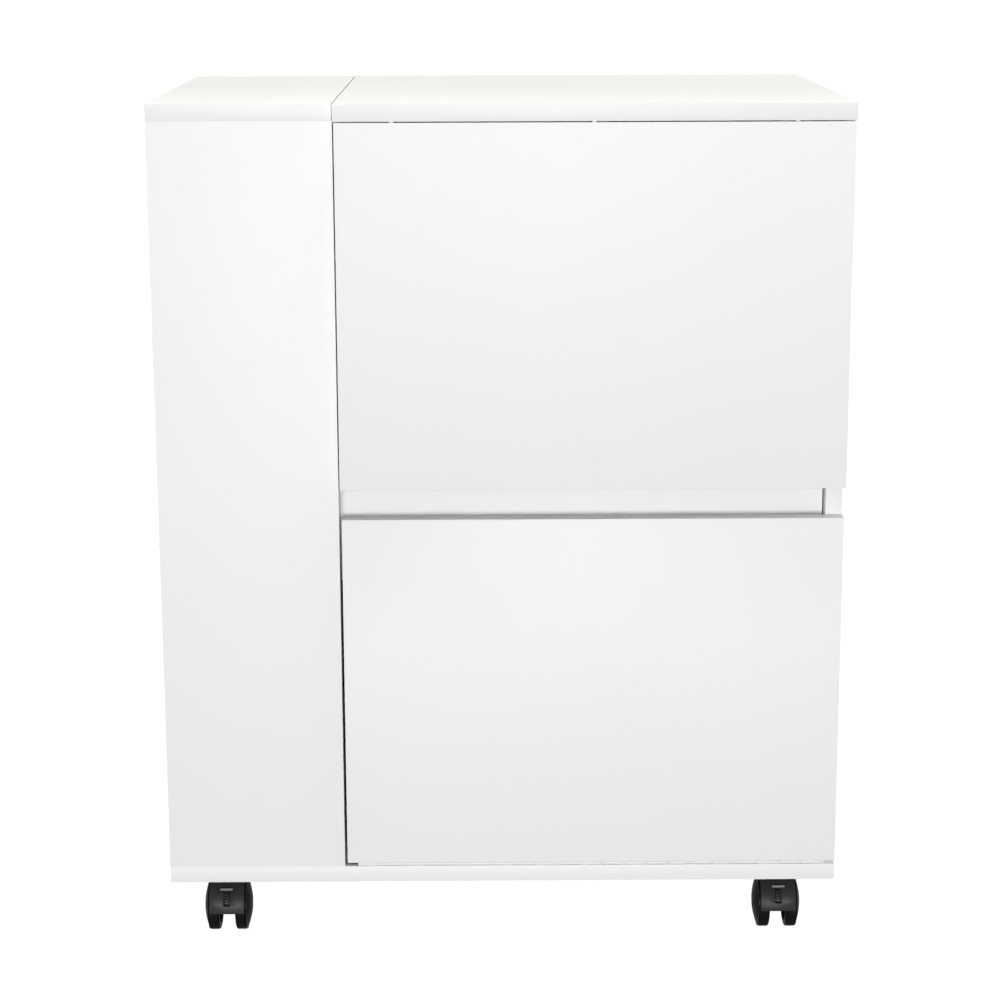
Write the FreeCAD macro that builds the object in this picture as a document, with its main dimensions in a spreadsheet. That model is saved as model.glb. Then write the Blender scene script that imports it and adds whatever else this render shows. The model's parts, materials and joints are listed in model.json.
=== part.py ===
import FreeCAD, Part
import math
import os
import Sketcher

V = FreeCAD.Vector
TURN_X = FreeCAD.Rotation(V(0, 1, 0), 90)      # a cylinder's own Z turned to +X
TURN_Y = FreeCAD.Rotation(V(1, 0, 0), -90)     # a cylinder's own Z turned to +Y
HALF_TURN = FreeCAD.Rotation(V(0, 0, 1), 180)

# Driving sizes in millimetres. Heights are above the floor, depths are behind the front plane.
SIZES = {
    "width": 620, "depth": 420, "height": 780, "board": 15, "column": 163,
    "topgap": 1, "splitgap": 1.4, "slack": 0.5,
    "leafheight": 326, "leafgap": 2, "leafinset": 1,
    "gripgap": 31, "doorgap": 3.5, "doorside": 2.5,
    "railheight": 103.6, "railback": 30, "railrise": 8.6, "railend": 1,
    "backsheet": 3, "groove": 5, "toprail": 65,
    "shelflevel": 150, "shelffront": 60,
    "camradius": 7.5, "camdepth": 12, "camsetback": 24, "camdrop": 37.5, "cambehind": 45,
    "camrise": 15, "camspace": 17.5,
    "boltradius": 3, "boltgrip": 10,
    "pinradius": 2.5, "pinlength": 16, "pininset": 45,
    "screwradius": 2.5, "screwlength": 48, "screwhead": 4, "headdepth": 4, "screwinset": 70,
    "plateside": 38, "platethick": 2, "stemradius": 4, "stemlength": 20, "runfit": 0.05,
    "cornerin": 50, "cornerback": 55, "platehole": 13,
    "fixradius": 1.9, "fixlength": 12, "fixhead": 3.5, "fixheadtall": 1.6,
    "wheelradius": 25, "wheelwidth": 14.5, "treadwidth": 10, "wheelgap": 14.7, "domeflat": 9,
    "trail": 18, "axleradius": 2.5, "axlelength": 38, "axleend": 0.5,
    "hoodwidth": 32.6, "hoodgap": 0.7, "hoodwall": 1.8, "hoodclear": 5.5, "hubdisc": 10,
    "webclear": 0.55, "columnradius": 6.7, "columnrise": 8, "collarradius": 9.5,
    "collardrop": 12, "bossgap": 0.5,
    "leverwidth": 5, "leverhead": 12, "levergap": 0.4, "leverroot": 19, "leverproud": 0.7,
    "headproud": 3, "ribproud": 0.6,
    "barrelout": 3, "knuckle": 2.6, "lidpin": 1.25, "hingelength": 60, "hingethick": 1.5,
    "hingeplate": 11, "hingeinset": 70, "knuckleclear": 0.8, "knucklegap": 0.3,
    "doorbarrel": 1.5, "doorpin": 0.6, "dooraxis": 1.7, "dooraxisin": 1.5,
    "stripthick": 0.8, "stripwidth": 10, "stripinset": 10, "doorknuckle": 20,
    "tackradius": 1.2, "tackhead": 2, "tacklength": 9,
    "hubradius": 6, "hubin": 8, "hubdepth": 11, "linkreach": 7.2, "linkin": 6.5, "linkthick": 3,
    "linkwidth": 4, "slotslack": 0.5, "leafhingeinset": 50,
    "catchwide": 40, "catchtall": 14, "catchgap": 0.5, "strikethick": 0.8, "catchdrop": 45,
    "steprise": 12, "padradius": 4, "padthick": 0.6, "padinset": 40,
}

# Angles of the castor hood and its brake lever, in degrees up from the front of the axle.
HOOD_SPAN = (-2, 150)
LEVER_SLOT = (13.5, 51)
LEVER_TONGUE = (22, 42)
LEVER_HEAD = (43, 47)
LEVER_RIBS = ((24, 26.5), (29.5, 32), (35, 37.5))
DOOR_SCREWS = 5
LID_KNUCKLES = 5

# The castor's height over its wheels, and the lines of the cabinet, from the driving sizes.
hoodradius = "(dims.wheelradius + dims.hoodgap + dims.hoodwall)"
lift = f"(dims.wheelradius + {hoodradius} + dims.hoodclear + dims.platethick)"
front = "(dims.board - (dims.depth + dims.board + dims.barrelout + dims.knuckle) / 2)"
back = f"({front} + dims.depth)"
left = "(-dims.width / 2)"
right = "(dims.width / 2)"
centreline = "0 * dims.board"  # a coordinate on the frame's own axis
bayleft = f"({left} + dims.column)"
bayright = f"({right} - dims.board)"
basetop = f"({lift} + dims.board)"
topunder = "(dims.height - dims.board)"
baytop = f"({topunder} - dims.topgap)"
leafbottom = f"({baytop} - dims.leafheight)"
doortop = f"({leafbottom} - dims.gripgap)"
doorbottom = f"({basetop} + dims.doorgap)"
railtop = f"({leafbottom} + dims.railrise)"
railfront = f"({front} + dims.railback)"
sheetfront = f"({back} - dims.board - dims.backsheet)"
lidaxis = f"({topunder} - dims.topgap / 2)"
striplow = f"({bayleft} + dims.doorside + dims.stripinset)"
striphigh = f"({right} - dims.stripinset)"
stripfront = f"({front} + dims.dooraxisin + dims.doorbarrel + dims.slack)"

doc = FreeCAD.newDocument("sewing_table")
nodes = {}


def make_sheet():
    sheet = doc.addObject("Spreadsheet::Sheet", "dims")
    for row, (alias, value) in enumerate(SIZES.items(), start=1):
        sheet.set(f"A{row}", alias)
        sheet.set(f"B{row}", str(value))
        sheet.setAlias(f"B{row}", alias)
    doc.recompute()


def put(obj, x, y, z, rotation=None):
    """Places an object by expressions, after an optional fixed turn."""
    if rotation is not None:
        obj.Placement = FreeCAD.Placement(V(0, 0, 0), rotation)
    for axis, text in zip("xyz", (x, y, z)):
        obj.setExpression(f"Placement.Base.{axis}", str(text))
    return obj


def block(x0, x1, y0, y1, z0, z1):
    """A box between two limits along each axis."""
    box = doc.addObject("Part::Box", "block")
    box.setExpression("Length", f"({x1}) - ({x0})")
    box.setExpression("Width", f"({y1}) - ({y0})")
    box.setExpression("Height", f"({z1}) - ({z0})")
    return put(box, x0, y0, z0)


def rod(x, y, z, radius, length, rotation=None):
    """A cylinder that starts at a point and runs along Z, or along the turned axis."""
    cylinder = doc.addObject("Part::Cylinder", "rod")
    cylinder.setExpression("Radius", str(radius))
    cylinder.setExpression("Height", str(length))
    return put(cylinder, x, y, z, rotation)


def group(shapes):
    compound = doc.addObject("Part::Compound", "group")
    compound.Links = shapes
    return compound


def joined(shapes):
    fuse = doc.addObject("Part::MultiFuse", "joined")
    fuse.Shapes = shapes
    fuse.Refine = True
    return fuse


def cut(base, tools):
    """The base with every tool taken away."""
    result = doc.addObject("Part::Cut", "cut")
    result.Base = base
    result.Tool = tools[0] if len(tools) == 1 else group(tools)
    return result


def node(name, obj):
    obj.Label = name
    nodes[name] = obj
    return obj


def sketch_on(body, role, outline):
    """A closed straight outline whose corners are given as pairs of expressions."""
    sketch = body.newObject("Sketcher::SketchObject", "outline")
    plane = [item for item in body.Origin.OriginFeatures if item.Role == role][0]
    sketch.AttachmentSupport = [(plane, "")]
    sketch.MapMode = "FlatFace"
    count = len(outline)
    for index in range(count):
        here = V(index, index * index, 0)
        after = V((index + 1) % count, ((index + 1) % count) ** 2, 0)
        sketch.addGeometry(Part.LineSegment(here, after), False)
    for index in range(count):
        sketch.addConstraint(Sketcher.Constraint("Coincident", index, 2, (index + 1) % count, 1))
    for index, (across, up) in enumerate(outline):
        for kind, text in (("DistanceX", across), ("DistanceY", up)):
            number = sketch.addConstraint(Sketcher.Constraint(kind, -1, 1, index, 1, 1.0))
            sketch.setExpression(f"Constraints[{number}]", text)
    return sketch


def padded_body(role, outline, thickness):
    """A PartDesign body: one outline on an origin plane, padded to a thickness."""
    body = doc.addObject("PartDesign::Body", "body")
    sketch = sketch_on(body, role, outline)
    pad = body.newObject("PartDesign::Pad", "pad")
    pad.Profile = sketch
    pad.setExpression("Length", thickness)
    sketch.Visibility = False
    body.Tip = pad
    return body


make_sheet()


def fastener(x, y, z, head_radius, head_tall, shank_radius, length, rotation=None):
    """A screw that starts at its head's flat end and runs along the turned axis."""
    head = rod(x, y, z, head_radius, head_tall, rotation)
    shank = rod(x, y, z, shank_radius, length, rotation)
    return joined([head, shank])


def make_base_screws():
    places = []
    for panel in (f"{bayleft} - dims.board / 2", f"{bayright} + dims.board / 2"):
        places.append((panel, f"{front} + dims.screwinset"))
        places.append((panel, f"{back} - dims.screwinset"))
    middle = f"{left} + dims.column / 2"
    places.append((middle, f"{front} + dims.board / 2"))
    places.append((middle, f"{back} - dims.board / 2"))
    screws = [fastener(x, y, lift, "dims.screwhead", "dims.headdepth",
                       "dims.screwradius", "dims.screwlength") for x, y in places]
    return node("base_screws", group(screws))


def cam_ends(y, z):
    """Bolts into both bay walls at one depth and level, and where their cams stand."""
    run = "dims.boltgrip + dims.camsetback - dims.camradius - dims.slack"
    bolts = [rod(f"{bayleft} - dims.boltgrip", y, z, "dims.boltradius", run, TURN_X),
             rod(f"{bayright} - dims.camsetback + dims.camradius + dims.slack", y, z,
                 "dims.boltradius", run, TURN_X)]
    centres = [f"{bayleft} + dims.camsetback", f"{bayright} - dims.camsetback"]
    return bolts, centres


def make_cam_fittings():
    """Cams and bolts of the machine shelf, the front rail and the back rail."""
    bolts = {"shelf": [], "rail": [], "back": []}
    cams = {"shelf": [], "rail": [], "back": []}
    for y in (f"{railfront} + dims.cambehind", f"{sheetfront} - dims.cambehind"):
        pair, centres = cam_ends(y, f"{railtop} - dims.board / 2")
        bolts["shelf"] += pair
        cams["shelf"] += [rod(x, y, f"{railtop} - dims.board", "dims.camradius",
                              "dims.camdepth") for x in centres]
    rails = [("rail", railfront, f"{railtop} - dims.railheight + dims.camrise"),
             ("rail", railfront, f"{railtop} - dims.camdrop"),
             ("back", f"{back} - dims.board", f"{baytop} - dims.toprail + dims.camrise"),
             ("back", f"{back} - dims.board", f"{baytop} - dims.toprail + dims.camrise + dims.camspace")]
    for name, face, z in rails:
        pair, centres = cam_ends(f"{face} + dims.board / 2", z)
        bolts[name] += pair
        cams[name] += [rod(x, f"{face} + dims.board - dims.camdepth", z, "dims.camradius",
                           "dims.camdepth", TURN_Y) for x in centres]
    node("cam_bolts", group(bolts["shelf"] + bolts["rail"] + bolts["back"]))
    node("cam_locks", group(cams["shelf"] + cams["rail"] + cams["back"]))
    return bolts, cams


def shelf_pin_pair(y_or_x, z, along_x, start, end):
    """Two pins facing each other under a shelf, one in each of two opposite walls."""
    half = "dims.pinlength / 2"
    pins = []
    for wall in (start, end):
        if along_x:
            pins.append(rod(f"{wall} - {half}", y_or_x, z, "dims.pinradius", "dims.pinlength", TURN_X))
        else:
            pins.append(rod(y_or_x, f"{wall} - {half}", z, "dims.pinradius", "dims.pinlength", TURN_Y))
    return pins


def column_shelf_level(number):
    return f"({basetop} + {number} * ({topunder} - {basetop} - dims.board) / 3)"


def make_shelf_pins():
    under = "- dims.pinradius"
    lower, column = [], []
    for y in (f"{front} + dims.shelffront + dims.pininset", f"{sheetfront} - dims.pininset"):
        z = f"{basetop} + dims.shelflevel {under}"
        lower += shelf_pin_pair(y, z, True, bayleft, bayright)
    for number in (1, 2):
        z = f"{column_shelf_level(number)} {under}"
        for x in (f"{left} + dims.pininset", f"{bayleft} - dims.board - dims.pininset"):
            column += shelf_pin_pair(x, z, False, f"({front} + dims.board)", f"({back} - dims.board)")
    node("shelf_pins", group(lower + column))
    return lower, column


def lid_hinge_centres():
    return [f"({bayleft} + dims.hingeinset)", f"({right} - dims.hingeinset)"]


def make_hinge_screws():
    """Small screws of the lid hinges and of the door's hinge strips, grouped by what they bite."""
    size = ("dims.tackhead", "dims.hingethick", "dims.tackradius", "dims.tacklength")
    strip = ("dims.tackhead", "dims.stripthick", "dims.tackradius", "dims.tacklength")
    into_front = FreeCAD.Rotation(V(1, 0, 0), 90)
    rail, lid = [], []
    for centre in lid_hinge_centres():
        for side in (-1, 0, 1):
            x = f"{centre} + {side} * dims.hingelength / 3"
            y = f"{back} + dims.hingethick"
            level = "dims.knuckle + dims.knuckleclear + dims.hingeplate / 2"
            rail.append(fastener(x, y, f"{lidaxis} - ({level})", *size, into_front))
            lid.append(fastener(x, y, f"{lidaxis} + {level}", *size, into_front))
    base, door = [], []
    upside_down = FreeCAD.Rotation(V(1, 0, 0), 180)
    for number in range(DOOR_SCREWS):
        x = f"{striplow} + ({number} + 0.5) / {DOOR_SCREWS} * ({striphigh} - {striplow})"
        y = f"{stripfront} + dims.stripwidth / 2"
        base.append(fastener(x, y, f"{basetop} + dims.stripthick", *strip, upside_down))
        door.append(fastener(x, y, f"{doorbottom} - dims.stripthick", *strip))
    node("frame_hinge_screws", group(rail + base))
    node("lid_hinge_screws", group(lid))
    node("door_hinge_screws", group(door))
    return rail, base, lid, door


def castor_corners():
    """Name, side and end of each castor: x sign, and -1 at the front or 1 at the back."""
    return [("front_left", -1, -1), ("front_right", 1, -1),
            ("rear_left", -1, 1), ("rear_right", 1, 1)]


def castor_centre(side, end):
    x = f"{side} * (dims.width / 2 - dims.cornerin)"
    y = f"{front} + dims.cornerback" if end < 0 else f"{back} - dims.cornerback"
    return x, y


def make_castor_screws():
    screws = []
    for _, side, end in castor_corners():
        x, y = castor_centre(side, end)
        for across in (-1, 1):
            for along in (-1, 1):
                screws.append(fastener(f"{x} + {across} * dims.platehole",
                                       f"{y} + {along} * dims.platehole",
                                       f"{lift} - dims.platethick - dims.fixheadtall",
                                       "dims.fixhead", "dims.fixheadtall", "dims.fixradius",
                                       "dims.fixheadtall + dims.fixlength"))
    return node("castor_screws", group(screws))


def make_carcass(base_screws, castor_screws, bolts, cams, lower_pins, column_pins, rail_tacks, base_tacks):
    all_bolts = bolts["shelf"] + bolts["rail"] + bolts["back"]
    sheet_y = (sheetfront, f"{back} - dims.board")
    slot_low = f"{bayleft} - dims.groove"
    slot_high = f"{bayright} + dims.groove"
    bottom = block(left, right, front, back, lift, basetop)
    base_groove = block(slot_low, slot_high, *sheet_y, f"{basetop} - dims.groove", basetop)
    node("bottom_board", cut(bottom, [base_groove, base_screws, castor_screws] + base_tacks))

    face = block(left, bayleft, front, f"{front} + dims.board", basetop, topunder)
    node("column_front_panel", cut(face, [base_screws] + column_pins))
    rear = block(left, f"{bayleft} - dims.board", f"{back} - dims.board", back, basetop, topunder)
    node("column_back_board", cut(rear, [base_screws] + column_pins))
    node("column_top_board", block(left, f"{bayleft} - dims.slack", front, back, topunder, "dims.height"))

    wall = block(f"{bayleft} - dims.board", bayleft, f"{front} + dims.board", back, basetop, topunder)
    wall_groove = block(slot_low, bayleft, *sheet_y, basetop, topunder)
    node("partition", cut(wall, [wall_groove, base_screws] + all_bolts + lower_pins))

    for number in (1, 2):
        level = column_shelf_level(number)
        node(f"column_shelf_{number}",
             block(f"{left} + 2 * dims.slack", f"{bayleft} - dims.board - dims.slack",
                   f"{front} + dims.board + dims.slack", f"{back} - dims.board - dims.slack",
                   level, f"{level} + dims.board"))

    shelf = block(bayleft, bayright, f"{railfront} + dims.board", f"{sheetfront} - dims.slack",
                  f"{railtop} - dims.board", railtop)
    node("machine_shelf", cut(shelf, bolts["shelf"] + cams["shelf"]))
    level = f"({basetop} + dims.shelflevel)"
    node("lower_shelf",
         block(f"{bayleft} + dims.slack", f"{bayright} - dims.slack", f"{front} + dims.shelffront",
               f"{sheetfront} - dims.slack", level, f"{level} + dims.board"))

    rail = block(bayleft, f"{bayright} - dims.railend", railfront, f"{railfront} + dims.board",
                 f"{railtop} - dims.railheight", railtop)
    node("front_rail", cut(rail, bolts["rail"] + cams["rail"]))
    rail = block(bayleft, bayright, f"{back} - dims.board", back, f"{baytop} - dims.toprail", baytop)
    node("back_top_rail", cut(rail, bolts["back"] + cams["back"] + rail_tacks))

    inset = "(dims.groove - dims.slack)"
    node("back_panel", block(f"{bayleft} - {inset}", f"{bayright} + {inset}", *sheet_y,
                             f"{basetop} - {inset}", f"{baytop} - dims.slack"))


def make_side_panel(base_screws, bolts, lower_pins):
    """The right wall: its front edge steps back below the leaf to let the door close on it."""
    proud = f"{front} + dims.slack"
    low = f"{front} + dims.board + dims.slack"
    step = f"{leafbottom} + dims.steprise"
    outline = [(low, basetop), (back, basetop), (back, baytop),
               (proud, baytop), (proud, step), (low, step)]
    body = padded_body("YZ_Plane", outline, "dims.board")
    put(body, bayright, centreline, centreline)
    groove = block(bayright, f"{bayright} + dims.groove", sheetfront, f"{back} - dims.board",
                   basetop, baytop)
    all_bolts = bolts["shelf"] + bolts["rail"] + bolts["back"]
    node("right_side_panel", cut(body, [groove, base_screws] + all_bolts + lower_pins))


def leaf_hinge_places():
    low = f"({bayleft} + dims.leafgap + dims.leafhingeinset)"
    high = f"({right} - dims.leafinset - dims.leafhingeinset)"
    return [low, f"(({low} + {high}) / 2)", high]


def make_leaf_hinges():
    """Barrel hinges across the seam between lid and leaf, each with one rocking link."""
    outer = f"({front} - dims.board)"
    seam = f"({topunder} - dims.topgap / 2)"
    sweep = "pow(pow(dims.linkin + dims.linkthick / 2; 2) + pow(dims.linkreach; 2); 0.5)"
    near = f"{outer} + dims.linkin - dims.linkthick / 2"
    far = f"{outer} + dims.linkin + dims.linkthick / 2"
    half = "dims.linkwidth / 2"
    bores = {"lid": [], "leaf": []}
    barrels = {"lid": [], "leaf": []}
    links = []
    for x in leaf_hinge_places():
        for owner, foot in (("lid", topunder), ("leaf", f"{baytop} - dims.hubdepth")):
            bore = rod(x, f"{outer} + dims.hubin", foot, "dims.hubradius", "dims.hubdepth")
            slot = block(f"{x} - {half} - dims.slotslack", f"{x} + {half} + dims.slotslack",
                         f"{near} - dims.slotslack", f"{outer} + {sweep} + dims.slotslack",
                         f"{seam} - dims.linkreach - dims.slotslack",
                         f"{seam} + dims.linkreach + dims.slotslack")
            bores[owner].append(bore)
            barrels[owner].append(cut(bore, [slot]))
        links.append(block(f"{x} - {half}", f"{x} + {half}", near, far,
                           f"{seam} - dims.linkreach", f"{seam} + dims.linkreach"))
    node("leaf_hinge_lid_barrels", group(barrels["lid"]))
    node("leaf_hinge_leaf_barrels", group(barrels["leaf"]))
    node("leaf_hinge_links", group(links))
    return bores


def make_moving_boards(bores, lid_tacks, door_tacks):
    lid = block(f"{bayleft} - dims.slack + dims.splitgap", right, f"{front} - dims.board", back,
                topunder, "dims.height")
    node("lid", cut(lid, bores["lid"] + lid_tacks))
    leaf = block(f"{bayleft} + dims.leafgap", f"{right} - dims.leafinset", f"{front} - dims.board",
                 front, leafbottom, baytop)
    node("front_leaf", cut(leaf, bores["leaf"]))
    door = block(f"{bayleft} + dims.doorside", right, front, f"{front} + dims.board",
                 doorbottom, doortop)
    node("lower_door", cut(door, door_tacks))


def knuckle_row(low, high, count, first, y, z, radius, bore):
    """Every second knuckle of a barrel that lies along X, as shells around the pin."""
    shells = []
    for number in range(first, count, 2):
        start = f"({low}) + {number} * (({high}) - ({low})) / {count}"
        length = f"(({high}) - ({low})) / {count} - dims.knucklegap"
        shell = cut(rod(start, y, z, radius, length, TURN_X), [rod(start, y, z, bore, length, TURN_X)])
        shells.append((shell, start, length))
    return shells


def hinge_half(low, high, count, first, y, z, radius, bore, flat, reach):
    """One side of a butt hinge: a flat plate, its knuckles, and the webs that join them.

    flat is the plate's box; reach gives a web's y and z limits beside the barrel.
    """
    pieces = [block(low, high, *flat)]
    holes = []
    for shell, start, length in knuckle_row(low, high, count, first, y, z, radius, bore):
        web = block(start, f"({start}) + {length}", *reach)
        holes.append(rod(start, y, z, bore, length, TURN_X))
        pieces += [shell, web]
    return cut(joined(pieces), holes)


def make_lid_hinges(rail_tacks, lid_tacks):
    y = f"({back} + dims.barrelout)"
    clear = "dims.knuckle + dims.knuckleclear"
    plate = (back, f"{back} + dims.hingethick")
    pins = []
    for name, centre in zip(("left", "right"), lid_hinge_centres()):
        low = f"{centre} - dims.hingelength / 2"
        high = f"{centre} + dims.hingelength / 2"
        frame = hinge_half(low, high, LID_KNUCKLES, 0, y, lidaxis, "dims.knuckle", "dims.lidpin",
                           (*plate, f"{lidaxis} - ({clear} + dims.hingeplate)", f"{lidaxis} - ({clear})"),
                           (*plate, f"{lidaxis} - ({clear})", lidaxis))
        moving = hinge_half(low, high, LID_KNUCKLES, 1, y, lidaxis, "dims.knuckle",
                            "dims.lidpin + dims.runfit",
                            (*plate, f"{lidaxis} + {clear}", f"{lidaxis} + {clear} + dims.hingeplate"),
                            (*plate, lidaxis, f"{lidaxis} + {clear}"))
        node(f"lid_hinge_{name}_frame_plate", cut(frame, rail_tacks))
        node(f"lid_hinge_{name}_lid_plate", cut(moving, lid_tacks))
        pins.append(rod(low, y, lidaxis, "dims.lidpin", "dims.hingelength - dims.knucklegap", TURN_X))
    node("lid_hinge_pins", group(pins))


def make_door_hinge(base_tacks, door_tacks):
    y = f"({front} + dims.dooraxisin)"
    z = f"({basetop} + dims.dooraxis)"
    run = SIZES["width"] - SIZES["column"] - SIZES["doorside"] - 2 * SIZES["stripinset"]
    count = 2 * int(run / SIZES["doorknuckle"] / 2) + 1
    plate = (stripfront, f"{stripfront} + dims.stripwidth")
    base = (basetop, f"{basetop} + dims.stripthick")
    upper = (f"{doorbottom} - dims.stripthick", doorbottom)
    frame = hinge_half(striplow, striphigh, count, 0, y, z, "dims.doorbarrel", "dims.doorpin",
                       (*plate, *base), (y, stripfront, *base))
    moving = hinge_half(striplow, striphigh, count, 1, y, z, "dims.doorbarrel",
                        "dims.doorpin + dims.runfit", (*plate, *upper), (y, stripfront, *upper))
    node("door_hinge_base_strip", cut(frame, base_tacks))
    node("door_hinge_door_strip", cut(moving, door_tacks))
    node("door_hinge_pin", rod(striplow, y, z, "dims.doorpin",
                               f"{striphigh} - {striplow} - dims.knucklegap", TURN_X))


def make_catch():
    middle = f"(({bayleft} + {bayright}) / 2)"
    level = f"({doortop} - dims.catchdrop)"
    strike = f"{front} + dims.board + dims.strikethick"
    node("magnetic_catch",
         block(f"{middle} - dims.catchwide / 2", f"{middle} + dims.catchwide / 2",
               f"{strike} + dims.catchgap", railfront,
               f"{level} - dims.catchtall / 2", f"{level} + dims.catchtall / 2"))
    node("strike_plate",
         block(f"{middle} - dims.catchwide / 2", f"{middle} + dims.catchwide / 2",
               f"{front} + dims.board", strike,
               f"{level} - dims.catchtall / 2", f"{level} + dims.catchtall / 2"))


def make_bumpers():
    side = f"{bayright} + dims.board / 2"
    places = [(side, f"{front} + dims.padinset"), (side, f"{back} - dims.padinset"),
              (f"{bayleft} + dims.padinset / 2", f"{back} - dims.board / 2")]
    node("lid_bumpers", group([rod(x, y, baytop, "dims.padradius", "dims.padthick") for x, y in places]))


def sector(radius, width, span):
    """A wedge of a disc about the axle, between two angles up from the front."""
    start, end = (math.radians(angle) for angle in span)
    across = V(0, -math.cos(start), math.sin(start))
    upward = V(0, math.sin(start), math.cos(start))
    turned = FreeCAD.Rotation(across, upward, V(-1, 0, 0), "ZXY")
    wedge = doc.addObject("Part::Cylinder", "sector")
    wedge.setExpression("Radius", radius)
    wedge.setExpression("Height", width)
    wedge.Angle = math.degrees(end - start)
    return put(wedge, f"({width}) / 2", "-dims.trail", "dims.wheelradius", turned)


def disc(radius, width):
    """A full disc about the axle, centred on the castor."""
    return rod(f"-({width}) / 2", "-dims.trail", "dims.wheelradius", radius, width, TURN_X)


def make_hood(with_slot):
    """The hood over both wheels, the web between them and the socket for the stem."""
    inner = f"{hoodradius} - dims.hoodwall"
    web = "dims.wheelgap - 2 * dims.webclear"
    top = f"{lift} - dims.platethick - dims.bossgap"
    shell = cut(sector(hoodradius, "dims.hoodwidth", HOOD_SPAN), [disc(inner, "dims.hoodwidth")])
    middle = sector(f"{hoodradius} - dims.hoodwall / 2", web, HOOD_SPAN)
    hub = disc("dims.hubdisc", web)
    column = rod(centreline, centreline, "(dims.wheelradius + dims.columnrise)", "dims.columnradius",
                 f"{top} - (dims.wheelradius + dims.columnrise)")
    collar = rod(centreline, centreline, f"({lift} - dims.collardrop)", "dims.collarradius",
                 f"{top} - ({lift} - dims.collardrop)")
    socket_foot = f"{lift} - dims.platethick - dims.stemlength - dims.bossgap"
    socket = rod(centreline, centreline, socket_foot, "dims.stemradius + dims.runfit",
                 "dims.stemlength + dims.bossgap")
    tools = [socket, disc("dims.axleradius", web)]
    if with_slot:
        slot_width = "dims.leverwidth + 2 * dims.levergap"
        slot = cut(sector(f"{hoodradius} + dims.headproud", slot_width, LEVER_SLOT),
                   [disc("dims.leverroot - dims.levergap", slot_width)])
        tools.append(slot)
    return cut(joined([shell, middle, hub, column, collar]), tools)


def make_lever():
    """The T-shaped brake lever: a ribbed tongue in the hood's slot and a bar to press."""
    root = disc("dims.leverroot", "dims.leverhead")
    tongue = sector(f"{hoodradius} + dims.leverproud", "dims.leverwidth", LEVER_TONGUE)
    neck = sector(f"{hoodradius} + dims.headproud", "dims.leverwidth", (LEVER_TONGUE[1], LEVER_HEAD[1]))
    ribs = [sector(f"{hoodradius} + dims.leverproud + dims.ribproud", "dims.leverwidth", span)
            for span in LEVER_RIBS]
    stem = cut(joined([tongue, neck] + ribs), [root])
    bar = cut(sector(f"{hoodradius} + dims.headproud", "dims.leverhead", LEVER_HEAD),
              [disc(f"{hoodradius} + dims.levergap", "dims.leverhead")])
    return joined([stem, bar])


def make_wheel(side):
    """One wheel: a flat tread with a domed outer face and a blind bore for the axle."""
    inner = "dims.wheelgap / 2"
    start = inner if side > 0 else f"-({inner}) - dims.wheelwidth"
    tyre = rod(start, "-dims.trail", "dims.wheelradius", "dims.wheelradius", "dims.wheelwidth", TURN_X)
    rise = "(pow(dims.wheelradius; 2) - pow(dims.domeflat; 2)) / (2 * (dims.wheelwidth - dims.treadwidth))"
    centre = f"((dims.wheelwidth + dims.treadwidth) / 2 - {rise})"
    ball = doc.addObject("Part::Sphere", "dome")
    ball.setExpression("Radius", f"pow(pow(dims.treadwidth - {centre}; 2) + pow(dims.wheelradius; 2); 0.5)")
    put(ball, f"{side} * ({inner} + {centre})", "-dims.trail", "dims.wheelradius")
    domed = doc.addObject("Part::Common", "domed")
    domed.Base = tyre
    domed.Tool = ball
    bore = disc("dims.axleradius + dims.runfit", "dims.axlelength + 2 * dims.axleend")
    return cut(domed, [bore])


def make_swivel_plate():
    half = "dims.plateside / 2"
    under = f"{lift} - dims.platethick"
    plate = block(f"-{half}", half, f"-{half}", half, under, lift)
    stem = rod(centreline, centreline, f"{under} - dims.stemlength", "dims.stemradius",
               "dims.stemlength")
    holes = [rod(f"{across} * dims.platehole", f"{along} * dims.platehole", under,
                 "dims.fixradius", "dims.platethick") for across in (-1, 1) for along in (-1, 1)]
    return cut(joined([plate, stem]), holes)


def make_castors():
    for name, side, end in castor_corners():
        x, y = castor_centre(side, end)
        turn = FreeCAD.Rotation() if end < 0 else HALF_TURN
        pieces = {"plate": make_swivel_plate(), "hood": make_hood(end < 0),
                  "axle": disc("dims.axleradius", "dims.axlelength"),
                  "wheel_a": make_wheel(-1), "wheel_b": make_wheel(1)}
        if end < 0:
            pieces["brake_lever"] = make_lever()
        for piece, shape in pieces.items():
            carrier = shape if piece != "axle" else group([shape])
            put(carrier, x, y, centreline, turn)
            node(f"castor_{name}_{piece}", carrier)


def save_parts():
    doc.recompute()
    for obj in doc.Objects:
        if "Invalid" in obj.State or "Error" in obj.State:
            raise RuntimeError(f"{obj.Name} ({obj.Label}) failed: {obj.State}")
    os.makedirs("parts", exist_ok=True)
    for name, obj in nodes.items():
        shape = obj.Shape
        if shape.isNull() or not shape.isValid() or not shape.Solids:
            raise RuntimeError(f"{name} has no sound solid")
        shape.exportStep(os.path.join("parts", f"{name}.step"))
    print(f"{len(nodes)} parts written")


base_screws = make_base_screws()
castor_screws = make_castor_screws()
bolts, cams = make_cam_fittings()
lower_pins, column_pins = make_shelf_pins()
rail_tacks, base_tacks, lid_tacks, door_tacks = make_hinge_screws()
make_carcass(base_screws, castor_screws, bolts, cams, lower_pins, column_pins, rail_tacks, base_tacks)
make_side_panel(base_screws, bolts, lower_pins)
make_moving_boards(make_leaf_hinges(), lid_tacks, door_tacks)
make_lid_hinges(rail_tacks, lid_tacks)
make_door_hinge(base_tacks, door_tacks)
make_catch()
make_bumpers()
make_castors()
save_parts()
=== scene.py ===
import json
import math

import bmesh
import bpy
from mathutils import Matrix, Vector

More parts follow.
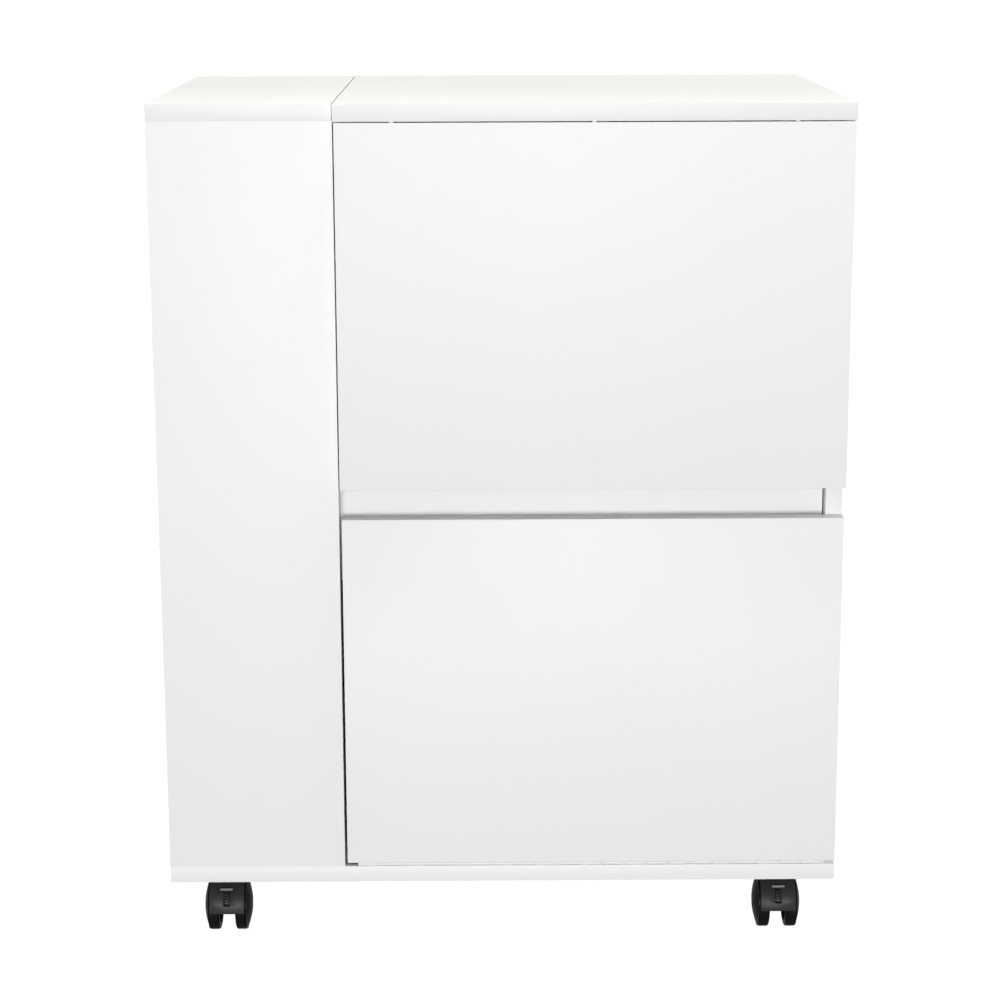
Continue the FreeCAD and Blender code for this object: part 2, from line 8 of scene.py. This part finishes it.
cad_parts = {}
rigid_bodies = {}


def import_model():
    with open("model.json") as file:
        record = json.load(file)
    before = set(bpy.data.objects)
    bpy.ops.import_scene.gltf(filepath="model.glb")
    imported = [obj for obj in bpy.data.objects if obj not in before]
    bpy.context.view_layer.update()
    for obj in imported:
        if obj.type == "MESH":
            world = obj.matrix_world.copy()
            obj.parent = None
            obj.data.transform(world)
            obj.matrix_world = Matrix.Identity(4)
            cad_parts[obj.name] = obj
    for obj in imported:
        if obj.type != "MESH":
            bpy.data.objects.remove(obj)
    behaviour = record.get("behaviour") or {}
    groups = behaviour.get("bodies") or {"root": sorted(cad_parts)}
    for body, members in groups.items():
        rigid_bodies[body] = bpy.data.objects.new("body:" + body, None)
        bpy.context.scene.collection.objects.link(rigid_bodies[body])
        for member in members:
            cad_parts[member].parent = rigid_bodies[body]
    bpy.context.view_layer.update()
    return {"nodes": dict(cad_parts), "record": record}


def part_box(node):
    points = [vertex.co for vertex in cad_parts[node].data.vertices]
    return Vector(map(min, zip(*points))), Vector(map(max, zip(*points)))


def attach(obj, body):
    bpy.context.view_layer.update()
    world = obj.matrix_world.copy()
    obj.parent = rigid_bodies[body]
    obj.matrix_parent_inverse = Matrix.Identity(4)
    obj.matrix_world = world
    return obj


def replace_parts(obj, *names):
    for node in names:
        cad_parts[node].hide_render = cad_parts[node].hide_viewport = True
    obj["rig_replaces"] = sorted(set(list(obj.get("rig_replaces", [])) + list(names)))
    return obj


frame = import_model()
scene = bpy.context.scene
mm = 0.001


# shader maths: a socket that can be added, multiplied and so on

class Wire:
    def __init__(self, finish, socket):
        self.finish = finish
        self.socket = socket

    def maths(self, operation, first, second):
        node = self.finish.add("ShaderNodeMath", {"operation": operation}, {0: first, 1: second})
        return Wire(self.finish, node.outputs[0])

    def __add__(self, other):
        return self.maths("ADD", self, other)

    __radd__ = __add__

    def __mul__(self, other):
        return self.maths("MULTIPLY", self, other)

    __rmul__ = __mul__

    def __sub__(self, other):
        return self.maths("SUBTRACT", self, other)

    def __rsub__(self, other):
        return self.maths("SUBTRACT", other, self)


class Finish:
    def __init__(self, name, **constants):
        self.material = bpy.data.materials.new(name)
        self.material.use_nodes = True
        self.tree = self.material.node_tree
        self.shader = self.tree.nodes["Principled BSDF"]
        for socketName, value in constants.items():
            self.shader.inputs[socketName.replace("_", " ")].default_value = value

    def add(self, kind, settings=None, inputs=None):
        node = self.tree.nodes.new(kind)
        for key, value in (settings or {}).items():
            setattr(node, key, value)
        for key, value in (inputs or {}).items():
            if isinstance(value, Wire):
                self.tree.links.new(value.socket, node.inputs[key])
            else:
                node.inputs[key].default_value = value
        return node

    def wire(self, kind, settings=None, inputs=None, output=0):
        return Wire(self, self.add(kind, settings, inputs).outputs[output])

    def place(self, stretch=(1, 1, 1)):
        spot = self.wire("ShaderNodeTexCoord", output="Object")
        return self.wire("ShaderNodeMapping", None, {"Vector": spot, "Scale": stretch})

    def noise(self, scale, detail=3.0, roughness=0.5, stretch=(1, 1, 1)):
        return self.wire("ShaderNodeTexNoise", None,
                         {"Vector": self.place(stretch), "Scale": scale, "Detail": detail,
                          "Roughness": roughness})

    def painted(self, pieceAttribute):
        return self.wire("ShaderNodeAttribute", {"attribute_name": pieceAttribute}, output="Fac")

    def spread(self, value, low, high):
        return self.wire("ShaderNodeMapRange", {"clamp": True},
                         {"Value": value, "From Min": low, "From Max": high})

    def mixed(self, factor, first, second):
        node = self.add("ShaderNodeMix", {"data_type": "RGBA"})
        for index, value in ((0, factor), (6, first), (7, second)):
            if isinstance(value, Wire):
                self.tree.links.new(value.socket, node.inputs[index])
            else:
                node.inputs[index].default_value = value
        return Wire(self, node.outputs[2])

    def feed(self, socketName, value):
        self.tree.links.new(value.socket, self.shader.inputs[socketName])

    def bump(self, height, strength, distance):
        self.feed("Normal", self.wire("ShaderNodeBump", None,
                                      {"Height": height, "Strength": strength, "Distance": distance},
                                      output="Normal"))


def rgb(red, green, blue):
    return (red, green, blue, 1.0)


# finishes

melamine = {
    "face": rgb(0.868, 0.868, 0.866), "cloud": rgb(0.85, 0.85, 0.847), "band": rgb(0.855, 0.855, 0.85),
    "cloudScale": 5, "clouds": 0.5, "speckleScale": 420, "speckles": 0.2,
    "roughness": 0.5, "gloss": 0.2, "polish": 0.08, "polishScale": 60,
    "pebbleScale": 1400, "sandingScale": 300, "pebbleStrength": 0.35, "pebbleDepth": 0.03 * mm,
}


def makeMelamine():
    coat = Finish("whiteMelamine", Roughness=melamine["roughness"], Specular_IOR_Level=melamine["gloss"])
    clouds = coat.spread(coat.noise(melamine["cloudScale"], 4), 0.35, 0.7)
    speckle = coat.spread(coat.noise(melamine["speckleScale"], 2), 0.62, 0.72)
    cloudy = clouds * melamine["clouds"] + speckle * melamine["speckles"]
    board = coat.mixed(cloudy, melamine["face"], melamine["cloud"])
    band = coat.painted("band")
    coat.feed("Base Color", coat.mixed(band, board, melamine["band"]))
    swing = melamine["polish"]                  # how far the roughness wanders
    polish = coat.noise(melamine["polishScale"], 3) * swing
    coat.feed("Roughness", polish + melamine["roughness"] - swing / 2 - band * swing)
    pebble = coat.noise(melamine["pebbleScale"], 2)
    sanded = coat.noise(melamine["sandingScale"], 3, 0.6, (1, 1, 6))
    coat.bump(pebble * (1 - band) + sanded * band, melamine["pebbleStrength"], melamine["pebbleDepth"])
    return coat.material


hardboard = {"clean": rgb(0.8, 0.8, 0.79), "blotch": rgb(0.75, 0.75, 0.73), "blotchScale": 9,
             "weaveScale": 700, "weaveStrength": 0.5, "weaveDepth": 0.08 * mm, "roughness": 0.6, "swing": 0.2}


def makeBackSheet():
    sheet = Finish("backSheet", Roughness=hardboard["roughness"])
    weave = sheet.noise(hardboard["weaveScale"], 4, 0.7)
    blotch = sheet.spread(sheet.noise(hardboard["blotchScale"], 3), 0.3, 0.75)
    sheet.feed("Base Color", sheet.mixed(blotch, hardboard["clean"], hardboard["blotch"]))
    sheet.feed("Roughness", weave * hardboard["swing"] + (hardboard["roughness"] - hardboard["swing"] / 2))
    sheet.bump(weave, hardboard["weaveStrength"], hardboard["weaveDepth"])
    return sheet.material


moulded = {
    "hood": {"dark": rgb(0.026, 0.025, 0.025), "light": rgb(0.05, 0.049, 0.048), "roughness": 0.44,
             "gloss": 0.22, "grainScale": 1900, "grainDepth": 0.05 * mm},
    "wheel": {"dark": rgb(0.0045, 0.0045, 0.005), "light": rgb(0.009, 0.009, 0.0095), "roughness": 0.22,
              "gloss": 0.06, "grainScale": 1200, "grainDepth": 0.02 * mm},
    "catch": {"dark": rgb(0.78, 0.78, 0.76), "light": rgb(0.7, 0.7, 0.68), "roughness": 0.45,
              "gloss": 0.4, "grainScale": 900, "grainDepth": 0.03 * mm},
    "lacquer": {"dark": rgb(0.84, 0.84, 0.83), "light": rgb(0.76, 0.76, 0.75), "roughness": 0.4,
                "gloss": 0.4, "grainScale": 1100, "grainDepth": 0.02 * mm},
}
# the near-black colour in this table is painted shade for the faces between the lever's ribs
# the pale colour in this table is a painted highlight for the lever's top face; the tread dust and scuffs are
# real wear
wear = {
    "treadDust": rgb(0.022, 0.021, 0.02), "paintedHighlight": rgb(0.26, 0.26, 0.265), "paintedShadeTone": rgb(0.004, 0.004, 0.004),
    "scuffScale": 260, "scuffs": 0.25, "dustScale": 55, "dust": 0.12,
    "grainStrength": 0.3, "grainGloss": 0.08, "scuffGloss": 0.12, "treadGloss": 0.22,
}


def makeMoulded(name, kind):
    values = moulded[kind]
    plastic = Finish(name, Roughness=values["roughness"], Specular_IOR_Level=values["gloss"])
    grain = plastic.noise(values["grainScale"], 3, 0.6)
    scuffs = plastic.spread(plastic.noise(wear["scuffScale"], 5, 0.7, (1, 3, 1)), 0.58, 0.75)
    dust = plastic.spread(plastic.noise(wear["dustScale"], 4), 0.45, 0.8)
    worn = plastic.painted("tread")
    body = plastic.mixed(scuffs * wear["scuffs"] + dust * wear["dust"], values["dark"], values["light"])
    trodden = plastic.mixed(worn * (dust * 0.5 + 0.1), body, wear["treadDust"])
    # painted shade: the faces marked between the lever's ribs are mixed to near-black
    paintedShade = plastic.mixed(plastic.painted("paintedShade"), trodden, wear["paintedShadeTone"])
    # painted highlight: the faces marked on the lever's top are mixed to a pale grey, standing for light
    # caught there
    plastic.feed("Base Color", plastic.mixed(plastic.painted("paintedHighlight"), paintedShade, wear["paintedHighlight"]))
    worked = scuffs * wear["scuffGloss"] + worn * wear["treadGloss"] + grain * wear["grainGloss"]
    plastic.feed("Roughness", worked + (values["roughness"] - wear["grainGloss"] / 2))
    plastic.bump(grain, wear["grainStrength"], values["grainDepth"])
    return plastic.material


metals = {
    "zinc": {"bright": rgb(0.62, 0.63, 0.65), "dull": rgb(0.5, 0.5, 0.5),
             "roughness": 0.34, "grain": (1, 1, 1)},
    "screw": {"bright": rgb(0.6, 0.61, 0.62), "dull": rgb(0.48, 0.47, 0.45),
              "roughness": 0.32, "grain": (4, 4, 1)},
    "hinge": {"bright": rgb(0.74, 0.74, 0.74), "dull": rgb(0.62, 0.62, 0.61),
              "roughness": 0.28, "grain": (1, 8, 8)},
    "cast": {"bright": rgb(0.52, 0.52, 0.53), "dull": rgb(0.42, 0.42, 0.42),
             "roughness": 0.45, "grain": (1, 1, 1)},
}
brushing = {"scale": 900, "swing": 0.16, "strength": 0.25, "depth": 0.03 * mm,
            "stainScale": 120, "stains": 0.6, "stainGloss": 0.08}


def makeMetal(name, kind):
    values = metals[kind]
    metal = Finish(name, Metallic=1.0, Roughness=values["roughness"])
    brushed = metal.noise(brushing["scale"], 3, 0.6, values["grain"])
    stains = metal.spread(metal.noise(brushing["stainScale"], 4), 0.4, 0.75)
    metal.feed("Base Color", metal.mixed(stains * brushing["stains"], values["bright"], values["dull"]))
    sheen = brushed * brushing["swing"] + stains * brushing["stainGloss"]
    metal.feed("Roughness", sheen + (values["roughness"] - 0.1))
    metal.bump(brushed, brushing["strength"], brushing["depth"])
    return metal.material


bumper = {"dull": rgb(0.62, 0.62, 0.6), "bright": rgb(0.74, 0.74, 0.72), "roughness": 0.7,
          "fuzzScale": 1500, "fuzzStrength": 0.6, "fuzzDepth": 0.1 * mm}


def makePad():
    pad = Finish("softPad", Roughness=bumper["roughness"])
    fuzz = pad.noise(bumper["fuzzScale"], 4, 0.7)
    pad.feed("Base Color", pad.mixed(fuzz, bumper["dull"], bumper["bright"]))
    pad.bump(fuzz, bumper["fuzzStrength"], bumper["fuzzDepth"])
    return pad.material


finishes = {
    "white_melamine": makeMelamine(),
    "back_sheet": makeBackSheet(),
    "castor_hood": makeMoulded("hoodNylon", "hood"),
    "castor_wheel": makeMoulded("wheelNylon", "wheel"),
    "zinc_steel": makeMetal("zincPlate", "zinc"),
    "screw_steel": makeMetal("screwZinc", "screw"),
    "hinge_steel": makeMetal("nickelHinge", "hinge"),
    "white_steel": makeMoulded("whiteLacquer", "lacquer"),
    "cast_zinc": makeMetal("castZinc", "cast"),
    "catch_plastic": makeMoulded("catchWhite", "catch"),
    "felt_pad": makePad(),
}
print("finishes made:", len(finishes))

slotOf = {part["node"]: part["material_slot"] for part in frame["record"]["subparts"]}
bodyOf = {node: body for body, members in frame["record"]["behaviour"]["bodies"].items() for node in members}


# helpers on meshes

mergeDistance = 0.001 * mm
flatAngle = 0.5         # faces that meet at less, in degrees, are taken as one


def finishPiece(form, name, node, smoothAngle=35):
    slotName = slotOf[node]
    mesh = bpy.data.meshes.new(name)
    form.to_mesh(mesh)
    form.free()
    mesh.materials.append(finishes[slotName])
    mesh.polygons.foreach_set("use_smooth", [True] * len(mesh.polygons))
    mesh.set_sharp_from_angle(angle=math.radians(smoothAngle))
    piece = bpy.data.objects.new(name, mesh)
    scene.collection.objects.link(piece)
    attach(piece, bodyOf[node])
    return piece


def mergedCopy(node):
    form = bmesh.new()
    form.from_mesh(frame["nodes"][node].data)
    bmesh.ops.remove_doubles(form, verts=form.verts, dist=mergeDistance)
    bmesh.ops.dissolve_limit(form, angle_limit=math.radians(flatAngle), verts=form.verts, edges=form.edges)
    return form


def softenEdges(form, width, segments=2, angle=40):
    sharp = [edge for edge in form.edges
             if len(edge.link_faces) == 2 and edge.calc_face_angle(0) > math.radians(angle)]
    bmesh.ops.bevel(form, geom=sharp, offset=width, offset_type="OFFSET", segments=segments,
                    profile=0.5, affect="EDGES", clamp_overlap=True, material=-1)


# the lowest and highest corner of each separate solid in a grouped node
def islandsOf(node):
    form = bmesh.new()
    form.from_mesh(frame["nodes"][node].data)
    bmesh.ops.remove_doubles(form, verts=form.verts, dist=mergeDistance)
    left, boxes = set(form.verts), []
    while left:
        stack, island = [left.pop()], []
        while stack:
            vert = stack.pop()
            island.append(vert.co.copy())
            for edge in vert.link_edges:
                other = edge.other_vert(vert)
                if other in left:
                    left.remove(other)
                    stack.append(other)
        boxes.append((Vector([min(co[i] for co in island) for i in range(3)]),
                      Vector([max(co[i] for co in island) for i in range(3)])))
    form.free()
    return sorted(boxes, key=lambda pair: tuple(round(value, 5) for value in pair[0]))


# boards: every board with its edge banding and eased arrises, and the thin back

boards = {"arris": 0.35 * mm, "rounding": 2, "faceOn": 0.9}      # size and steps of the eased edges


# marks every face but the two broad ones, across the board's thin axis
def paintBand(form, thin):
    layer = form.faces.layers.float.new("band")
    for face in form.faces:
        face[layer] = 0.0 if abs(face.normal[thin]) > boards["faceOn"] else 1.0


def makeBoard(node):
    form = mergedCopy(node)
    low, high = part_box(node)
    size = high - low
    thin = min(range(3), key=lambda axis: size[axis])
    softenEdges(form, boards["arris"], boards["rounding"])
    form.normal_update()
    paintBand(form, thin)
    piece = finishPiece(form, node + "_board", node)
    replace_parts(piece, node)


for node in sorted(slotOf):
    if slotOf[node] in ("white_melamine", "back_sheet"):
        makeBoard(node)
print("boards made")


# castors

# widths are measured from the wheel's inner face
wheel = {
    "steps": 96, "domeSteps": 12, "bore": 2.55 * mm, "boreDepth": 12 * mm,
    "bushDepth": 1.2 * mm, "bush": 4.2 * mm, "hubDepth": 0.5 * mm, "hub": 8 * mm,
    "webDepth": 2.2 * mm, "web": 19 * mm, "rim": 22.6 * mm, "shoulder": 2.4 * mm,
    "tread": 10 * mm, "groove": 0.5 * mm, "grooveDepth": 0.7 * mm, "flat": 9 * mm,
    "capDepth": 0.6 * mm, "cap": 5.6 * mm, "capFace": 4.2 * mm,
    "treadEdge": 0.4 * mm,      # what lies nearer to the outside than this is tread
}
hood = {"arris": 0.35 * mm, "rounding": 2}
lever = {"ledge": 1.3 * mm, "facesUp": 0.35, "valley": 3.5 * mm}     # valley: its height over the tread


# distance from the inner face, and radius, from the bore round the tread to the outer centre
def wheelOutline(width, radius):
    hubDepth, webDepth, tread, depth = (wheel[key] for key in ("hubDepth", "webDepth", "tread", "grooveDepth"))
    outline = [(wheel["boreDepth"], 0), (wheel["boreDepth"], wheel["bore"]),
               (wheel["bushDepth"], wheel["bore"]), (wheel["bushDepth"], wheel["bush"])]
    outline += [(hubDepth, wheel["bush"] + 0.4 * mm), (hubDepth, wheel["hub"])]
    outline += [(webDepth, wheel["hub"] + 0.6 * mm), (webDepth, wheel["web"])]
    outline += [(0.1 * mm, wheel["web"] + 1 * mm), (0, wheel["rim"]), (0.5 * mm, wheel["rim"] + 1.6 * mm)]
    outline += [(wheel["shoulder"] - 1 * mm, radius - 0.12 * mm), (wheel["shoulder"], radius)]
    outline += [(tread - 1.2 * mm, radius), (tread - 0.5 * mm, radius - 0.15 * mm)]
    grooveEnd = tread + wheel["groove"]         # the groove that parts tread and dished cover
    outline += [(tread - 0.2 * mm, radius - depth), (grooveEnd, radius - depth - 0.1 * mm),
                (grooveEnd + 0.1 * mm, radius - 0.45 * mm)]
    rise = (radius ** 2 - wheel["flat"] ** 2) / (2 * (width - tread))
    middle = (width + tread) / 2 - rise
    ball = math.hypot(tread - middle, radius)
    for step in range(1, wheel["domeSteps"] + 1):
        share = step / wheel["domeSteps"]
        ring = (radius - 0.6 * mm) * (1 - share) + wheel["flat"] * share
        outline.append((middle + math.sqrt(ball ** 2 - ring ** 2) - 0.02 * mm, ring))
    sunk = width - wheel["capDepth"]
    return outline + [(sunk, wheel["flat"] - 0.35 * mm), (sunk, wheel["cap"]),
                      (width - 0.2 * mm, wheel["cap"] - 0.4 * mm), (width, wheel["capFace"]), (width, 0)]


def makeWheel(node):
    low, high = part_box(node)
    hoodLow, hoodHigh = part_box(node.rsplit("_wheel", 1)[0] + "_hood")
    outward = 1 if (low.x + high.x) > (hoodLow.x + hoodHigh.x) else -1
    width, radius = high.x - low.x, (high.z - low.z) / 2
    centre = (low + high) / 2
    inner = low.x if outward > 0 else high.x
    form = bmesh.new()
    ring = [form.verts.new((inner + outward * along, centre.y, centre.z + out))
            for along, out in wheelOutline(width, radius)]
    edges = [form.edges.new(pair) for pair in zip(ring, ring[1:])]
    bmesh.ops.spin(form, geom=ring + edges, cent=centre, axis=(1, 0, 0), angle=2 * math.pi,
                   steps=wheel["steps"], use_merge=True, use_duplicate=False)
    bmesh.ops.remove_doubles(form, verts=form.verts, dist=mergeDistance)
    bmesh.ops.recalc_face_normals(form, faces=form.faces)
    layer = form.faces.layers.float.new("tread")
    for face in form.faces:
        middle = face.calc_center_median() - centre
        face[layer] = 1.0 if math.hypot(middle.y, middle.z) > radius - wheel["treadEdge"] else 0.0
    piece = finishPiece(form, node + "_turned", node, smoothAngle=40)
    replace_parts(piece, node)


# paints the lever: the upper face of the ledge that the foot presses is painted pale as a painted highlight,
# and the faces between the ribs are painted near-black as painted shade
def paintLever(form, node):
    low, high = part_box(node.replace("brake_lever", "wheel_a"))
    axle, valley = (low + high) / 2, (high.z - low.z) / 2 + lever["valley"]
    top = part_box(node)[1].z - lever["ledge"]
    paintedHighlight = form.faces.layers.float.new("paintedHighlight")
    paintedShade = form.faces.layers.float.new("paintedShade")
    for face in form.faces:
        middle = face.calc_center_median()
        # painted highlight: upward faces at the top of the lever head are marked to be painted pale
        face[paintedHighlight] = 1.0 if face.normal.z > lever["facesUp"] and middle.z > top else 0.0
        # painted shade: faces sunk below the ribs' reach, between the ribs, are marked to be painted
        # near-black
        face[paintedShade] = 1.0 if math.hypot(middle.y - axle.y, middle.z - axle.z) < valley else 0.0


def makeHood(node):
    form = mergedCopy(node)
    softenEdges(form, hood["arris"], hood["rounding"], angle=45)
    form.normal_update()
    if "brake_lever" in node:
        paintLever(form, node)
    piece = finishPiece(form, node + "_shell", node, smoothAngle=40)
    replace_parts(piece, node)


for node in sorted(slotOf):
    if "_wheel_" in node:
        makeWheel(node)
    elif slotOf[node] == "castor_hood":
        makeHood(node)
print("castors made")


# screws, each with its cross recess

screwShapes = {
    "castor_screws": {"out": (0, 0, -1), "head": 3.5 * mm, "tall": 1.6 * mm, "shank": 1.9 * mm,
                      "cross": 2.0 * mm, "dome": 1},
    "base_screws": {"out": (0, 0, -1), "head": 4 * mm, "tall": 4 * mm, "shank": 2.5 * mm,
                    "cross": 2.4 * mm, "dome": 0},
    "lid_hinge_screws": {"out": (0, 1, 0), "head": 2 * mm, "tall": 1.5 * mm, "shank": 1.2 * mm,
                         "cross": 1.2 * mm, "dome": 0},
    "door_hinge_screws": {"out": (0, 0, -1), "head": 2 * mm, "tall": 0.8 * mm, "shank": 1.2 * mm,
                          "cross": 1.2 * mm, "dome": 0},
}
# arm, floor and mouth are shares of the cross's reach, and sink of the head's height
crossRecess = {"arm": 0.26, "floor": 0.72, "mouth": 1.25, "sink": 0.6, "rim": 24}
# the crown's rise as a share of the head's radius when domed, and in metres when flat
screwTurning = {"crown": 0.45, "flatCrown": 0.12 * mm, "crownMost": 0.7,
                "brow": 0.8, "browDrop": 0.35, "skirt": 0.9, "tip": 0.2}
onHead = 1e-7       # nearer than this, in metres, to the head's top is on it


def vertsOf(result):
    return [item for item in result["geom"] if isinstance(item, bmesh.types.BMVert)]


# pulls an open ring out to a new ring, scaled and moved along the screw
def nextRing(form, edges, grow, drop):
    fresh = set(vertsOf(bmesh.ops.extrude_edge_only(form, edges=edges)))
    bmesh.ops.scale(form, verts=list(fresh), vec=(grow, grow, 1))
    bmesh.ops.translate(form, verts=list(fresh), vec=(0, 0, drop))
    return [edge for edge in form.edges if edge.verts[0] in fresh and edge.verts[1] in fresh]


# one screw with its head's top at the origin, looking up: a grid's cross, sunk, and rings turned down from it
def screwMesh(shape, length):
    form = bmesh.new()
    head, tall, shank, reach = shape["head"], shape["tall"], shape["shank"], shape["cross"]
    bmesh.ops.create_grid(form, x_segments=3, y_segments=3, size=reach)
    for vert in form.verts:
        for axis in (0, 1):
            if abs(vert.co[axis]) < reach * 0.9:
                vert.co[axis] *= 3 * crossRecess["arm"]
    corners = [face for face in form.faces
               if min(abs(face.calc_center_median().x), abs(face.calc_center_median().y)) > reach * 0.3]
    bmesh.ops.delete(form, geom=corners, context="FACES")
    sunk = vertsOf(bmesh.ops.extrude_face_region(form, geom=form.faces[:]))
    bmesh.ops.scale(form, verts=sunk, vec=(crossRecess["floor"], crossRecess["floor"], 1))
    bmesh.ops.translate(form, verts=sunk, vec=(0, 0, -min(tall * crossRecess["sink"], reach)))
    top = [face for face in form.faces if all(abs(vert.co.z) < onHead for vert in face.verts)]
    bmesh.ops.delete(form, geom=top, context="FACES_ONLY")
    mouth = [edge for edge in form.edges if all(abs(vert.co.z) < onHead for vert in edge.verts)
             and len(edge.link_faces) == 1]
    radius, height = reach * crossRecess["mouth"], 0
    rim = bmesh.ops.create_circle(form, cap_ends=False, segments=crossRecess["rim"], radius=radius)
    rimVerts = set(rim["verts"])
    ring = [edge for edge in form.edges if edge.verts[0] in rimVerts and edge.verts[1] in rimVerts]
    bmesh.ops.bridge_loops(form, edges=mouth + ring)
    turning = screwTurning
    crown = turning["crown"] * head if shape["dome"] else turning["flatCrown"]
    crown = min(crown, tall * turning["crownMost"])
    levels = [(head * turning["brow"], -crown * turning["browDrop"]), (head, -crown),
              (head, -tall * turning["skirt"]), (shank, -tall),
              (shank, -length + shank), (shank * turning["tip"], -length)]
    for nextRadius, nextHeight in levels:
        ring = nextRing(form, ring, nextRadius / radius, nextHeight - height)
        radius, height = nextRadius, nextHeight
    bmesh.ops.contextual_create(form, geom=ring)
    bmesh.ops.recalc_face_normals(form, faces=form.faces)
    mesh = bpy.data.meshes.new("screw")
    form.to_mesh(mesh)
    form.free()
    return mesh


def makeScrews(node, rules):
    form = bmesh.new()
    for low, high in islandsOf(node):
        rule = rules(low, high) if callable(rules) else rules
        out = Vector(rule["out"])
        axis = max(range(3), key=lambda index: abs(out[index]))
        top = (low + high) / 2
        top[axis] = high[axis] if out[axis] > 0 else low[axis]
        screw = screwMesh(rule, high[axis] - low[axis])
        turn = Vector((0, 0, 1)).rotation_difference(out).to_matrix().to_4x4()
        screw.transform(Matrix.Translation(top) @ turn)
        form.from_mesh(screw)
        bpy.data.meshes.remove(screw)
    piece = finishPiece(form, node + "_turned", node, smoothAngle=30)
    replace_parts(piece, node)


def frameScrewRule(low, high):
    along = high - low
    if along.y > along.z:
        return screwShapes["lid_hinge_screws"]
    return {**screwShapes["door_hinge_screws"], "out": (0, 0, 1)}


for node, rule in screwShapes.items():
    makeScrews(node, rule)
makeScrews("frame_hinge_screws", frameScrewRule)
print("screws made")


# the rest of the hardware: eased copies of the engineered parts

hardware = {"hinge": 0.12 * mm, "plate": 0.25 * mm, "fitting": 0.3 * mm}     # widths of their eased edges


def makeHardware(node):
    kind = next((kind for kind in ("hinge", "plate") if kind in node), "fitting")
    form = mergedCopy(node)
    softenEdges(form, hardware[kind], angle=50)
    piece = finishPiece(form, node + "_eased", node, smoothAngle=40)
    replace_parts(piece, node)


alreadyMade = {name for piece in scene.objects for name in piece.get("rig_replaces", [])}
for node in sorted(slotOf):
    if node not in alreadyMade:
        makeHardware(node)
print("hardware made")


# floor, light and camera

studio = {
    "floor": rgb(0.15, 0.15, 0.15), "floorGlow": 0.97, "floorSize": 90, "ambient": 0.25,
    "aim": (0, 0, 0.42),        # where every lamp looks
}
lamps = {
    "frontKey": {"place": (-0.1, -7.5, 0.95), "size": 2.6, "power": 465, "colour": (1, 1, 1),
                 "highlight": True},
    "topFill": {"place": (0, 0.1, 3.8), "size": 1.6, "power": 80, "colour": (0.99, 1, 0.95),
                "highlight": False},
    "backFill": {"place": (0.8, 4.6, 0.5), "size": 1.4, "power": 110, "colour": (1, 1, 1),
                 "highlight": False},
    "leftFill": {"place": (-4.4, 0.6, 1.0), "size": 1.4, "power": 80, "colour": (1, 1, 1),
                 "highlight": True},
    "rightFill": {"place": (4.4, 0.6, 1.0), "size": 1.4, "power": 80, "colour": (1, 1, 1),
                  "highlight": True},
}


def makeFloor():
    form = bmesh.new()
    bmesh.ops.create_grid(form, x_segments=1, y_segments=1, size=studio["floorSize"])
    mesh = bpy.data.meshes.new("studioFloor")
    form.to_mesh(mesh)
    form.free()
    floor = bpy.data.objects.new("studioFloor", mesh)
    scene.collection.objects.link(floor)
    paper = Finish("studioPaper", Base_Color=studio["floor"], Roughness=0.9,
                   Emission_Color=rgb(1, 1, 1), Emission_Strength=studio["floorGlow"])
    mesh.materials.append(paper.material)
    floor.visible_diffuse = False       # its glow shows, but doesn't light the cabinet from below
    floor.visible_glossy = False


def makeLamp(name, lamp):
    data = bpy.data.lights.new(name, "AREA")
    data.energy = lamp["power"]
    data.color = lamp["colour"]
    data.size = lamp["size"]
    light = bpy.data.objects.new(name, data)
    aim = Vector(studio["aim"]) - Vector(lamp["place"])
    light.matrix_world = Matrix.Translation(lamp["place"]) @ aim.to_track_quat("-Z", "Y").to_matrix().to_4x4()
    light.visible_camera = False
    light.visible_glossy = lamp["highlight"]
    scene.collection.objects.link(light)


# the room is white to look at, and lights the object with a softer glow
def makeWorld():
    world = bpy.data.worlds.new("studio")
    world.use_nodes = True
    tree = world.node_tree
    sky = tree.nodes["Background"]
    path = tree.nodes.new("ShaderNodeLightPath")
    level = tree.nodes.new("ShaderNodeMapRange")
    level.inputs["To Min"].default_value = studio["ambient"]
    tree.links.new(path.outputs["Is Camera Ray"], level.inputs["Value"])
    tree.links.new(level.outputs["Result"], sky.inputs["Strength"])
    sky.inputs["Color"].default_value = rgb(1, 1, 1)
    scene.world = world


# place in metres, turns in degrees, lens and sensor in millimetres
view = {"place": (-0.01551, -2.39512, 0.92616), "yaw": 0.37, "pitch": 12.887, "roll": -0.185,
        "lens": 89.61, "sensor": 36}


def makeCamera():
    data = bpy.data.cameras.new("camera")
    data.sensor_width = view["sensor"]
    data.lens = view["lens"]
    camera = bpy.data.objects.new("camera", data)
    turn = (Matrix.Rotation(-math.radians(view["yaw"]), 4, "Z")
            @ Matrix.Rotation(math.radians(90 - view["pitch"]), 4, "X")
            @ Matrix.Rotation(math.radians(view["roll"]), 4, "Z"))
    camera.matrix_world = Matrix.Translation(view["place"]) @ turn
    scene.collection.objects.link(camera)
    scene.camera = camera


makeFloor()
makeWorld()
for lampName, values in lamps.items():
    makeLamp(lampName, values)
makeCamera()
scene.view_settings.view_transform = "Standard"
print("studio made")
